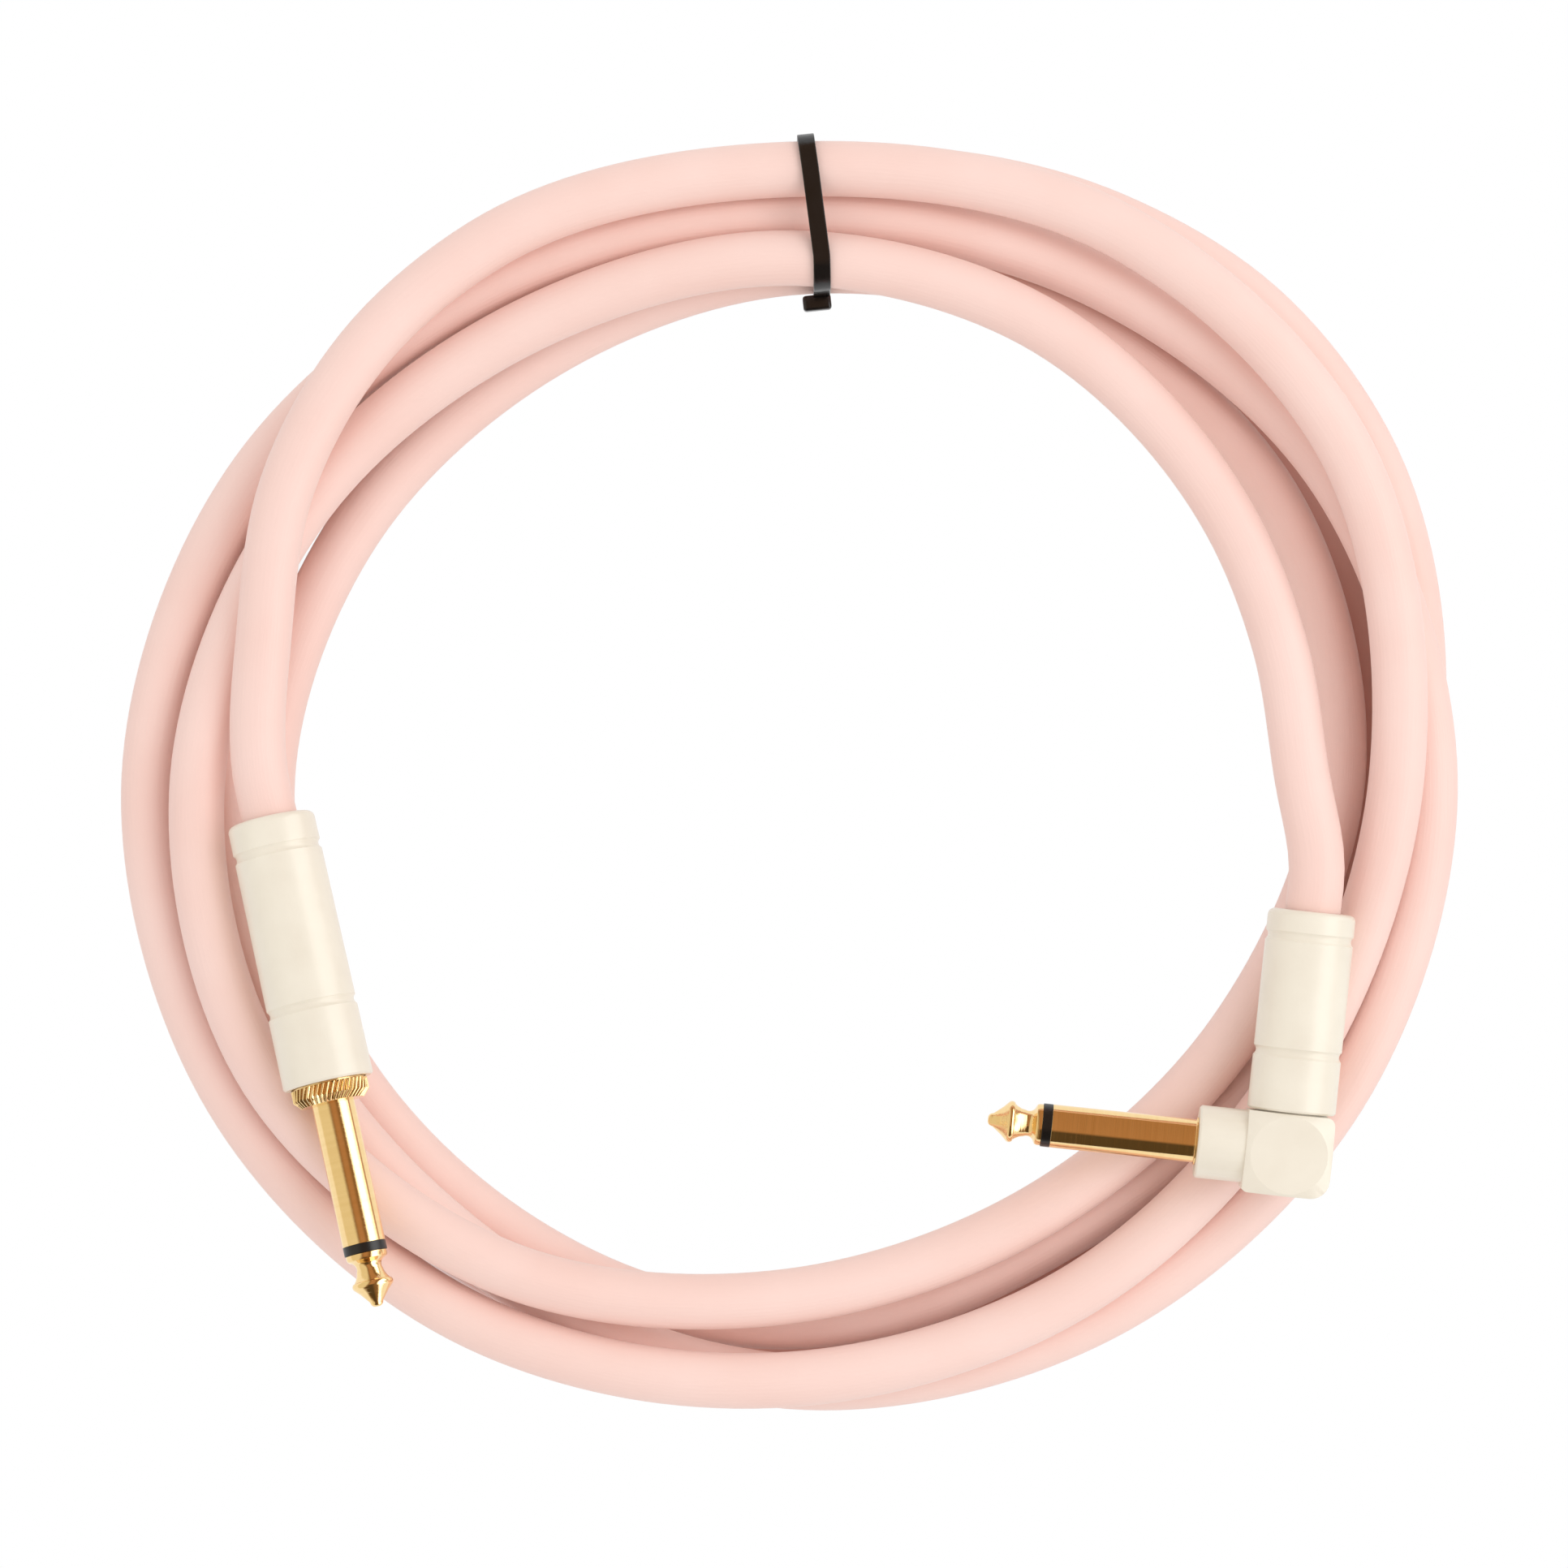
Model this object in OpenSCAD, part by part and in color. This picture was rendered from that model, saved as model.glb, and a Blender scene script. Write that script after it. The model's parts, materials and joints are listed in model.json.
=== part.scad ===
// Instrument cable with a straight and a right-angle plug, coiled and tied.
// Millimetres. The coil lies on z = 0, round the origin.

/* [Cable] */
// Diameter over the jacket
cable_d = 8.2; // [6:0.1:8.2]
// Diameter over the braided shield
shield_d = 5.8; // [4:0.1:5.8]
// Diameter over the inner insulation
core_d = 3.8; // [2:0.1:4]
// Diameter of the centre conductor
conductor_d = 0.9; // [0.4:0.1:0.9]

/* [Plug shaft] */
// Diameter of the shaft that goes into the jack
shaft_d = 6.35; // [6.3:0.01:6.4]
// Length of the shaft from its shoulder to the end of the tip
shaft_length = 30.5; // [29:0.1:32]
// Length of the tip contact
tip_length = 8; // [7:0.1:9]
// Thickness of the black ring behind the tip
ring_thick = 1.35; // [0.8:0.05:1.6]
// Diameter of the rod that joins the tip to its lug
rod_d = 2.5; // [2:0.1:2.6]

/* [Barrels] */
// Length of the straight plug's barrel
straight_barrel = 39.8; // [37:0.1:44]
// Length of the right-angle plug's barrel
angle_barrel = 29.5; // [28:0.1:34]
// Diameter of a barrel at its rear
barrel_rear_d = 12.9; // [12.3:0.1:13]
// Diameter of the straight barrel at its front
barrel_front_d = 13.4; // [12.9:0.1:13.4]
// Width of a decorative groove
groove_width = 1.4; // [0.8:0.1:1.8]
// Depth of a decorative groove
groove_depth = 0.35; // [0.2:0.05:0.4]

/* [Collar] */
// Diameter over the knurled collar's teeth
collar_d = 11.4; // [10.8:0.1:11.8]
// Diameter at the collar's front
collar_front_d = 9.4; // [8.5:0.1:10]
// Length of the collar
collar_length = 2.7; // [2:0.1:3]
// Number of slanted teeth
knurl_count = 44; // [30:1:52]
// Slant of the teeth, in degrees
knurl_slant = 24; // [10:1:35]

/* [Right-angle head] */
// Length of the head block along the barrel
head_length = 12; // [11:0.1:12.4]
// Width of the head block along the shaft
head_width = 12.7; // [12:0.1:12.8]
// Thickness of the head block
head_thick = 12.4; // [11:0.1:12.8]
// Radius of the head's far outer corner
head_corner_r = 2.7; // [1:0.1:4]
// Diameter of the round face left by the turned chamfer
head_face_d = 11.3; // [9:0.1:11.8]
// Diameter of the neck that carries the shaft
neck_d = 10.7; // [9.4:0.1:11]
// Length of the neck
neck_length = 7; // [5:0.1:8]

/* [Cable tie] */
// Thickness of the strap
strap_thick = 1.1; // [0.9:0.05:1.2]
// Width of the strap
strap_width = 2.6; // [2:0.1:3.6]
// Width of the tie's locking head
lock_width = 4.2; // [3.6:0.1:5]

/* [Hidden] */
$fn = 64;

// Colours
PINK = [0.98, 0.78, 0.73];
IVORY = [0.95, 0.92, 0.85];
GOLD = [0.85, 0.65, 0.3];
BLACK = [0.09, 0.09, 0.09];
CLEAR = [0.85, 0.86, 0.85];
COPPER = [0.8, 0.47, 0.3];
WHITE = [0.93, 0.93, 0.92];

// Where the plugs lie: the middle of each barrel's rear face, and the way it points
coil_scale = cable_d / 7.8;
STRAIGHT_AT = coil_scale * [-72.5, -6.4, 22.4];
STRAIGHT_HEADING = -77.2;
STRAIGHT_PITCH = 6;
ANGLE_AT = coil_scale * [72.9, -19.3, 23];
ANGLE_HEADING = -96;

// Fits
eps = 0.05;                            // pieces that seat in each other
turn_gap = 0.2;                        // barrel over liner
barrel_wall = 0.65;
rear_wall = 1.6;
rear_edge = 1;                         // rounding of the barrel's rear edge
cable_gap = 0.4;                       // rear hole round the cable
thread_depth = 0.2;
seam = 0.25;                           // gap in front of a barrel
liner_wall = 0.35;
bore_r = barrel_rear_d / 2 - barrel_wall;
liner_r = bore_r - turn_gap;
thread_r = bore_r - thread_depth;
spigot_r = thread_r - 0.3;
spigot_length = 8;
spigot_bore_r = 3.6;
head_bore_r = 4.3;                     // wiring space in the right-angle head
neck_bore_r = 3.4;                     // seat of the right-angle plug's shaft
shaft_r = shaft_d / 2;
shaft_bore_r = 2.2;
tube_r = shaft_bore_r - eps;           // insulating tube in the shaft
rod_r = rod_d / 2;

// Places along a plug, from the barrel's rear face
collet_from = 2.4;
straight_jacket_end = 12;
angle_jacket_end = 10.2;
straight_shoulder = straight_barrel + seam + collar_length;
straight_spigot_end = straight_barrel + seam - spigot_length;
angle_spigot_end = angle_barrel + seam - spigot_length - 1;
head_from = angle_barrel + seam;
shaft_offset = 0.5;                    // the shaft's axis, from the head's middle to the barrel
shaft_axis_at = head_from + head_length / 2 - shaft_offset;
head_left = 6.35;                      // barrel's axis to the head's face on the shaft's side
rim_length = 0.3;
rim_r = 3.5;
angle_shoulder = head_left + neck_length + rim_length;

// ---- The cable's route -------------------------------------------------------------------
// Each entry: degrees round the loop, clockwise seen from above and from the coil's left,
// distance from the coil's middle, height of the centre line. Distances and heights are those
// of a cable of 7.8 mm, and the whole coil grows with the cable.
COIL_MIDDLE = [0, -0.5];
LOOP_1 = [[15, 76, 22.5], [30, 81, 23], [45, 84.3, 22], [60, 85.7, 20.5], [90, 85.1, 18],
          [120, 89.2, 19.5], [150, 90.1, 21.5], [180, 85, 18.5], [210, 82.2, 12],
          [240, 82.8, 13.5], [270, 84.5, 17], [285, 86.2, 17.6], [300, 88.3, 16],
          [330, 90.7, 11]];
LOOP_2 = [[0, 90.4, 9], [30, 86.3, 11], [60, 81, 12.5], [90, 79, 12.3], [120, 82, 12],
          [150, 87.5, 12], [180, 90.2, 11.5], [210, 89.7, 7.5], [240, 87.8, 6.5],
          [270, 85.4, 7.8], [285, 83.3, 9.6], [300, 80.7, 10.4], [330, 79.7, 10.8]];
LOOP_3 = [[0, 80.5, 8.5], [30, 81, 4], [60, 82.5, 3.5], [90, 85, 6], [120, 91.2, 5],
          [135, 94, 4], [150, 94.2, 3.5], [180, 88.2, 3.1], [210, 80, 3.3], [240, 75.2, 4.4],
          [255, 76.2, 5], [270, 77.2, 4.3], [285, 77, 3.2], [300, 76, 3.1], [330, 75.2, 3.1]];
LOOP_4 = [[0, 74, 3.1], [30, 70.9, 4], [60, 69.4, 5], [90, 72, 6], [120, 76, 5],
          [150, 79, 4.5], [180, 77.6, 5.7], [210, 72.5, 8.2], [240, 70.4, 12.3], [270, 72.9, 16],
          [300, 79.5, 19.2], [330, 84.5, 18.2]];
LOOP_5 = [[0, 83, 17], [30, 78, 14.5], [60, 73.2, 16.5], [90, 72.7, 18], [120, 72.5, 18],
          [150, 71.3, 19.5], [165, 70.9, 21.5], [180, 71.5, 22.8]];

// A point on a plug's axis, so far in front of its barrel's rear face
function on_plug(at, heading, pitch, along) =
    at + along * [cos(pitch) * cos(heading), cos(pitch) * sin(heading), sin(pitch)];
function on_straight(along) = on_plug(STRAIGHT_AT, STRAIGHT_HEADING, STRAIGHT_PITCH, along);
function on_angle(along) = on_plug(ANGLE_AT, ANGLE_HEADING, 0, along);
function on_coil(p) =
    coil_scale * [COIL_MIDDLE[0] - p[1] * cos(p[0]), COIL_MIDDLE[1] + p[1] * sin(p[0]), p[2]];

ROUTE = [on_straight(straight_jacket_end), on_straight(2), on_straight(-7),
         for (loop = [LOOP_1, LOOP_2, LOOP_3, LOOP_4, LOOP_5], p = loop) on_coil(p),
         on_angle(-6.3), on_angle(2), on_angle(angle_jacket_end)];

// The direction of the route at waypoint i, from the waypoints on both sides
function route_way(i) =
    i == 0 ? (ROUTE[1] - ROUTE[0]) / norm(ROUTE[1] - ROUTE[0])
    : i == len(ROUTE) - 1 ? (ROUTE[i] - ROUTE[i - 1]) / norm(ROUTE[i] - ROUTE[i - 1])
    : let (before = norm(ROUTE[i] - ROUTE[i - 1]), after = norm(ROUTE[i + 1] - ROUTE[i]))
      (before * (ROUTE[i + 1] - ROUTE[i]) / after + after * (ROUTE[i] - ROUTE[i - 1]) / before)
      / (before + after);

// A smooth curve through the waypoints: share t of the way from waypoint i to the next
function route_point(i, t) =
    let (span = norm(ROUTE[i + 1] - ROUTE[i]))
    (2 * t^3 - 3 * t^2 + 1) * ROUTE[i] + (t^3 - 2 * t^2 + t) * span * route_way(i)
    + (3 * t^2 - 2 * t^3) * ROUTE[i + 1] + (t^3 - t^2) * span * route_way(i + 1);

// The centre line: a loop has 24 rings, so a twelfth of a turn has two steps
LONG_SPAN = 30;
function route_steps(i) = norm(ROUTE[i + 1] - ROUTE[i]) > LONG_SPAN ? 2 : 1;
CENTRES = [for (i = [0 : len(ROUTE) - 2], k = [0 : route_steps(i) - 1])
               route_point(i, k / route_steps(i)), ROUTE[len(ROUTE) - 1]];
last = len(CENTRES) - 1;

// ---- The tube swept along the centre line --------------------------------------------------
SIDES = 6;
function unit(v) = v / norm(v);
function line_way(i) = unit(CENTRES[min(i + 1, last)] - CENTRES[max(i - 1, 0)]);
// One ring of the tube, with a corner straight below the centre line
function ring(i) =
    let (way = line_way(i), side = unit(cross(way, [0, 0, 1])), up = cross(side, way))
    [for (k = [0 : SIDES - 1])
        CENTRES[i] + cable_d / 2 * (sin(360 * k / SIDES) * side - cos(360 * k / SIDES) * up)];
RINGS = [for (i = [0 : last]) ring(i)];
TUBE_POINTS = [for (r = RINGS) each r];
TUBE_FACES = [
    for (k = [1 : SIDES - 2]) [0, k + 1, k],
    for (i = [0 : last - 1], k = [0 : SIDES - 1])
        let (a = i * SIDES + k, b = i * SIDES + (k + 1) % SIDES)
        each [[a, b, b + SIDES], [a, b + SIDES, a + SIDES]],
    for (k = [1 : SIDES - 2]) [for (corner = [0, k, k + 1]) last * SIDES + corner]
];

// The least gap from the tube to itself, a loop further on: between points on both surfaces
LOOP_RINGS = 24;
NEAR = 3;
function corner_gap(p, i) =
    min([for (k = [0 : SIDES - 1])
        let (a = RINGS[i][k], b = RINGS[i + 1][k], t = max(0, min(1, (p - a) * (b - a)
             / ((b - a) * (b - a))))) norm(p - a - t * (b - a))]);
function ring_gap(i, j) = min([for (p = RINGS[i]) corner_gap(p, j)]);
CLEARANCES = [for (i = [0 : last], turns = [1 : 4], near = [-NEAR : NEAR])
                  let (j = i + turns * LOOP_RINGS + near)
                  if (j >= 0 && j < last && norm(CENTRES[i] - CENTRES[j]) < 3 * cable_d)
                  ring_gap(i, j)];
echo(least_gap_of_the_cable_to_itself = min(CLEARANCES));
function route_length(i) = i == 0 ? 0 : norm(CENTRES[i] - CENTRES[i - 1]) + route_length(i - 1);
echo(cable_length = route_length(last));
echo(highest_and_lowest = [max([for (p = TUBE_POINTS) p[2]]), min([for (p = TUBE_POINTS) p[2]])]);

// The cable is cut flat where it lies on the ground
module cable() {
    color(PINK) difference() {
        polyhedron(TUBE_POINTS, TUBE_FACES, convexity = 20);
        translate([-150, -150, -10]) cube([300, 300, 10]);
    }
}

// ---- Placing -------------------------------------------------------------------------------
module at_straight() {
    translate(STRAIGHT_AT) rotate([0, -STRAIGHT_PITCH, STRAIGHT_HEADING]) children();
}
module at_angle() {
    translate(ANGLE_AT) rotate([0, 0, ANGLE_HEADING]) children();
}
// The right-angle plug's shaft, with its shoulder at 0 and its tip towards +X
module at_angle_shaft() {
    at_angle() translate([shaft_axis_at, -angle_shoulder, 0]) rotate([0, 0, -90]) children();
}
// Turned pieces: a 2D half section with the radius along X and the axis along Y
module turned() {
    rotate([0, 90, 0]) rotate_extrude() children();
}
module band(from, to, inner, outer) {
    translate([inner, from]) square([outer - inner, to - from]);
}

// ---- Pieces of the plug shaft, from its shoulder -------------------------------------------
ring_from = shaft_length - tip_length - ring_thick;
tip_from = shaft_length - tip_length;
tip_flange_r = 3.05;
tip_neck_r = 2.05;
tip_bulge_r = 3.15;
function arc(middle, radius, from, to, steps) =
    [for (k = [0 : steps]) let (a = from + (to - from) * k / steps)
        middle + radius * [cos(a), sin(a)]];

module tip(rod_from) {
    color(GOLD) turned() {
        translate([0, tip_from]) polygon([
            [0, 0], [tip_flange_r - 0.05, 0],
            each arc([tip_flange_r - 0.25, 0.35], 0.25, 0, 60, 3),
            each arc([tip_neck_r + 1.15, 1.75], 1.15, 230, 170, 5),
            [2.35, 2.9], [2.8, 3.75],
            each arc([tip_bulge_r - 0.6, 4.45], 0.6, -25, 40, 5),
            [0.95, 7.3],
            each arc([0.25, 7.25], 0.75, 25, 90, 4),
            [0, tip_length]]);
        band(rod_from, tip_from, 0, rod_r);
    }
}
module tip_insulator(tube_from) {
    color(BLACK) turned() {
        band(ring_from, tip_from, rod_r + eps, shaft_r);
        band(tube_from, ring_from, rod_r + eps, tube_r);
    }
}

// Slanted teeth cut round a collar that runs from 0 to its length
module knurl(length, outer, count, slant) {
    tooth = 0.62;
    for (i = [0 : count - 1])
        rotate([360 * i / count, 0, 0]) translate([length / 2, 0, outer + 0.12])
            rotate([0, 0, slant]) rotate([45, 0, 0])
                cube([2 * length, tooth, tooth], center = true);
}

// ---- Pieces in a barrel, from its rear face ------------------------------------------------
module barrel(length, front_d, grooves) {
    rear_r = barrel_rear_d / 2;
    front_r = front_d / 2;
    cutter_r = (groove_width^2 / 4 + groove_depth^2) / (2 * groove_depth);
    color(IVORY) turned() difference() {
        union() {
            polygon([[0, 0], [rear_r - rear_edge, 0], [rear_r - rear_edge, rear_edge],
                     [rear_r, rear_edge], [front_r, length - 0.3], [front_r - 0.3, length],
                     [0, length]]);
            translate([rear_r - rear_edge, rear_edge]) circle(rear_edge);
        }
        band(-1, rear_wall + 1, -1, cable_d / 2 + cable_gap);
        band(rear_wall, length - spigot_length, -1, bore_r);
        band(rear_wall, length + 1, -1, thread_r);
        for (at = grooves)
            translate([rear_r + (front_r - rear_r) * at / length + cutter_r - groove_depth, at])
                circle(cutter_r);
    }
}
module liner(to) {
    color(CLEAR) turned() band(rear_wall + 0.3, to, liner_r - liner_wall, liner_r);
}

// Slotted chuck that grips the jacket
module collet(to) {
    outer = 4.6;
    slot = 0.8;
    color(WHITE) difference() {
        turned() difference() {
            polygon([[0, collet_from], [outer - 0.4, collet_from], [outer, collet_from + 0.8],
                     [outer, to], [0, to]]);
            band(collet_from - 1, to + 1, -1, cable_d / 2 + eps);
        }
        for (a = [45, 135])
            rotate([a, 0, 0]) translate([collet_from - 1, -outer - 1, -slot / 2])
                cube([to - collet_from - 1.5, 2 * outer + 2, slot]);
    }
}
module shield(from, to) {
    color(COPPER) turned() band(from, to, 0, shield_d / 2);
}
module core(from, to) {
    color(WHITE) turned() band(from, to, 0, core_d / 2);
}
module conductor(from, to) {
    color(COPPER) turned() band(from, to, 0, conductor_d / 2);
}

// Ring behind the spigot, with a tail that runs back to a cradle round the shield
lug_thick = 0.6;
tail_drop = 4.35;                      // from the axis to the tail's outer face
module ground_lug(ring_to, cradle_from) {
    cradle_length = 3.6;
    tail_width = 3;
    color(GOLD) {
        turned() band(ring_to - lug_thick, ring_to, spigot_bore_r, 4.6);
        translate([cradle_from, -tail_width / 2, -tail_drop])
            cube([ring_to - cradle_from, tail_width, lug_thick]);
        difference() {
            turned() band(cradle_from, cradle_from + cradle_length, shield_d / 2 + eps, 3.5);
            translate([cradle_from - 1, -5, -0.6]) cube([cradle_length + 2, 10, 6]);
        }
        translate([cradle_from, -tail_width / 2, -tail_drop + lug_thick / 2])
            cube([cradle_length, tail_width, 1.1]);
    }
}

// Cranked strip with its top face against the conductor: x runs back from the ring
module lug_tail(low, straight, reach) {
    strip = 0.5;
    width = 2;
    top = -conductor_d / 2;
    translate([0, width / 2, 0]) rotate([90, 0, 0]) linear_extrude(width)
        polygon([[0, low], [-straight - strip, low], [-straight - strip, top - strip],
                 [-reach, top - strip], [-reach, top], [-straight, top],
                 [-straight, low + strip], [0, low + strip]]);
}

// ---- Nodes of the straight plug ------------------------------------------------------------
straight_lug_at = straight_spigot_end + 2;
module from_straight_shoulder() {
    at_straight() translate([straight_shoulder, 0, 0]) children();
}
module straight_tip() {
    from_straight_shoulder() tip(straight_lug_at - lug_thick - straight_shoulder);
}
module straight_tip_insulator() {
    from_straight_shoulder() tip_insulator(straight_spigot_end + 5 - straight_shoulder);
}
module straight_sleeve() {
    color(GOLD) at_straight() {
        turned() {
            band(straight_spigot_end, straight_spigot_end + 5, spigot_bore_r, spigot_r);
            band(straight_spigot_end + 5, straight_barrel + seam, shaft_bore_r, spigot_r);
            band(straight_shoulder - eps, straight_shoulder + ring_from, shaft_bore_r, shaft_r);
        }
        translate([straight_barrel + seam, 0, 0]) difference() {
            turned() polygon([[shaft_bore_r, -eps], [spigot_r, -eps], [spigot_r, 0],
                              [collar_d / 2, 0], [collar_d / 2, collar_length * 0.62],
                              [collar_front_d / 2, collar_length],
                              [shaft_bore_r, collar_length]]);
            knurl(collar_length, collar_d / 2, knurl_count, knurl_slant);
        }
    }
}
module straight_rear_insulator() {
    color(BLACK) at_straight() turned()
        band(straight_lug_at, straight_spigot_end + 5, rod_r + eps, spigot_bore_r - eps);
}
module straight_tip_lug() {
    color(GOLD) at_straight() {
        turned() band(straight_lug_at - lug_thick, straight_lug_at, rod_r + eps, 2.4);
        translate([straight_lug_at, 0, 0]) lug_tail(-2.1, 3.6, 9);
    }
}
module straight_ground_lug() {
    at_straight() ground_lug(straight_spigot_end, straight_jacket_end + 1);
}
module straight_collet() {
    at_straight() collet(straight_jacket_end - 0.2);
}
module straight_liner() {
    at_straight() liner(straight_spigot_end - lug_thick - 0.4);
}
module straight_barrel_shell() {
    at_straight() barrel(straight_barrel, barrel_front_d, [5, straight_barrel - 11.3]);
}
module straight_shield() {
    at_straight() shield(straight_jacket_end, straight_jacket_end + 5);
}
module straight_core() {
    at_straight() core(straight_jacket_end + 5, straight_jacket_end + 11);
}
module straight_conductor() {
    at_straight() conductor(straight_jacket_end + 11, straight_jacket_end + 16);
}

// ---- Nodes of the right-angle plug ---------------------------------------------------------
lug_depth = 3.1;                       // barrel's axis to the tip lug's outer face
module angle_tip() {
    at_angle_shaft() tip(-(angle_shoulder - lug_depth + lug_thick));
}
module angle_tip_insulator() {
    at_angle_shaft() tip_insulator(-neck_length - rim_length);
}
module angle_sleeve() {
    color(GOLD) at_angle_shaft() turned() {
        band(-eps, ring_from, shaft_bore_r, shaft_r);
        band(-rim_length, 0, shaft_bore_r, rim_r);
        band(-rim_length - neck_length, -rim_length + eps, shaft_bore_r, neck_bore_r - eps);
    }
}
module angle_rear_insulator() {
    color(BLACK) at_angle_shaft() turned()
        band(-(angle_shoulder - lug_depth), -neck_length - rim_length, rod_r + eps,
             neck_bore_r - eps);
}
module angle_tip_lug() {
    color(GOLD) at_angle() {
        translate([shaft_axis_at, -lug_depth, 0]) rotate([0, 0, 90])
            turned() band(0, lug_thick, rod_r + eps, 2);
        translate([shaft_axis_at - rod_r - 0.3, 0, 0]) rotate([-90, 0, 0])
            lug_tail(-lug_depth, 2.5, 7);
    }
}
module angle_ground_lug() {
    at_angle() ground_lug(angle_spigot_end, angle_jacket_end + 0.4);
}
module angle_collet() {
    at_angle() collet(angle_jacket_end - 0.2);
}
module angle_liner() {
    at_angle() liner(angle_spigot_end - lug_thick - 0.4);
}
module angle_barrel_shell() {
    at_angle() barrel(angle_barrel, barrel_rear_d + 0.1, [3.9, angle_barrel - 8.6]);
}
module angle_shield() {
    at_angle() shield(angle_jacket_end, angle_jacket_end + 4.2);
}
module angle_core() {
    at_angle() core(angle_jacket_end + 4.2, angle_jacket_end + 13);
}
module angle_conductor() {
    at_angle() conductor(angle_jacket_end + 13, angle_jacket_end + 20);
}

// The head's outline seen along the thickness, its corners rounded by arcs
module head_outline() {
    right = head_width - head_left;
    small = 0.8;
    far = head_length;
    polygon([[0, -head_left], [0, right - 1.2],
             each arc([1.2, right - 1.2], 1.2, 180, 90, 4),
             each arc([far - head_corner_r, right - head_corner_r], head_corner_r, 90, 0, 6),
             each arc([far - small, -head_left + small], small, 0, -90, 4)]);
}
module angle_head() {
    half = head_thick / 2;
    middle = [head_from + head_length / 2, head_width / 2 - head_left];
    slope = tan(32);
    reach = 10;
    bevel = (reach - head_face_d / 2) * slope;
    color(IVORY) at_angle() difference() {
        union() {
            // block with a turned chamfer on both faces
            intersection() {
                translate([head_from, 0, -half - 1]) linear_extrude(head_thick + 2)
                    head_outline();
                translate([middle[0], middle[1], 0]) rotate_extrude()
                    polygon([[0, -half], [head_face_d / 2, -half], [reach, -half + bevel],
                             [reach, half - bevel], [head_face_d / 2, half], [0, half]]);
            }
            turned() band(angle_spigot_end, head_from + 1, 0, spigot_r);
            translate([shaft_axis_at, -head_left - neck_length, 0]) rotate([0, 0, 90])
                turned() polygon([[0, 0], [neck_d / 2 - 0.3, 0], [neck_d / 2, 0.3],
                                  [neck_d / 2, neck_length + 1], [0, neck_length + 1]]);
        }
        turned() band(angle_spigot_end - 1, head_from + 2, 0, spigot_bore_r);
        turned() band(head_from + 1.5, shaft_axis_at + 4, 0, head_bore_r);
        translate([shaft_axis_at, -head_left - neck_length - 1, 0]) rotate([0, 0, 90])
            turned() band(0, head_left + neck_length + 1 - lug_depth, 0, neck_bore_r);
    }
}

// ---- Cable tie ------------------------------------------------------------------------------
TIE_AT = coil_scale * [3.4, 78];
TIE_HEADING = 96;                      // from the coil's inside to its outside
strap_half = 11.4;                     // half the strap's loop across the bundle
strap_low = 0.2;
strap_high = 24.6;
strap_corner = 3.4;
module strap_outline(grow) {
    low = strap_low + strap_thick - grow + strap_corner;
    high = strap_high - strap_thick + grow - strap_corner;
    side = strap_half + grow - strap_corner;
    polygon([each arc([side, high], strap_corner, 0, 90, 6),
             each arc([-side, high], strap_corner, 90, 180, 6),
             each arc([-side, low], strap_corner, 180, 270, 6),
             each arc([side, low], strap_corner, 270, 360, 6)]);
}
module cable_tie() {
    lock_depth = 2.4;
    lock_height = 3.6;
    lock_at = 9;
    color(BLACK) translate([TIE_AT[0], TIE_AT[1], 0]) rotate([0, 0, TIE_HEADING])
        rotate([90, 0, 0]) {
            translate([0, 0, -strap_width / 2]) linear_extrude(strap_width) difference() {
                strap_outline(strap_thick);
                strap_outline(0);
            }
            translate([-strap_half - strap_thick - lock_depth, lock_at,
                       strap_width / 2 - lock_width])
                cube([lock_depth + strap_thick / 2, lock_height, lock_width]);
        }
}

cable();
cable_tie();
straight_tip();
straight_tip_insulator();
straight_sleeve();
straight_rear_insulator();
straight_tip_lug();
straight_ground_lug();
straight_collet();
straight_liner();
straight_barrel_shell();
straight_shield();
straight_core();
straight_conductor();
angle_tip();
angle_tip_insulator();
angle_sleeve();
angle_rear_insulator();
angle_tip_lug();
angle_ground_lug();
angle_collet();
angle_liner();
angle_barrel_shell();
angle_shield();
angle_core();
angle_conductor();
angle_head();
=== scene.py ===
# %% [markdown]
# # An instrument cable, coiled and tied
#
# The real object is one long pink cable with a metal plug screwed on each end: a straight
# one, and one whose shaft leaves it at a right angle. It is wound into four and a half loops
# and held by a cable tie. The solids come ready made, so this lesson only dresses them: it
# lays the cable along its route, turns the plugs on a make-believe lathe, cuts their knurl
# and threads, and gives every surface a finish.

# %% Load the solids
import json
from math import atan2, cos, hypot, pi, radians, sin, tan, tau

import bmesh
import bpy
from mathutils import Matrix, Vector


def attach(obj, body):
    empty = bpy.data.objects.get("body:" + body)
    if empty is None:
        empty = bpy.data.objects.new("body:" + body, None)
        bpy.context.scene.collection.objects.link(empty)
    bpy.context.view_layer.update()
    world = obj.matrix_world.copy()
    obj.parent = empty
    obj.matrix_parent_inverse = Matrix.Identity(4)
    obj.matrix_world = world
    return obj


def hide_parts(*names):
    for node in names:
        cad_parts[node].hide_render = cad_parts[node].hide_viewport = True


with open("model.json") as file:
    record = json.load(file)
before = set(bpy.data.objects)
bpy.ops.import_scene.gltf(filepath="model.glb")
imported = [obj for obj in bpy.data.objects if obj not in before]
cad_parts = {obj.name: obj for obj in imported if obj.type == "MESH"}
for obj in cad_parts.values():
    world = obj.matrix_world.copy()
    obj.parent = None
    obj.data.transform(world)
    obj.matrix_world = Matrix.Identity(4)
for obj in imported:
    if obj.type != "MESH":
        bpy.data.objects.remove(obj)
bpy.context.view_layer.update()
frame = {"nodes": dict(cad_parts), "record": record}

MM = 0.001
LEAD = "lead"

# %% [markdown]
# ## The camera
#
# The coil is seen from straight above, from far enough away that its sides hardly show. A
# camera with no turn of its own already looks down the Z axis with +Y up the picture, so it
# only needs a place and a focal length. The focal length follows from how much of the table
# fits the frame at that height.

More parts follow.
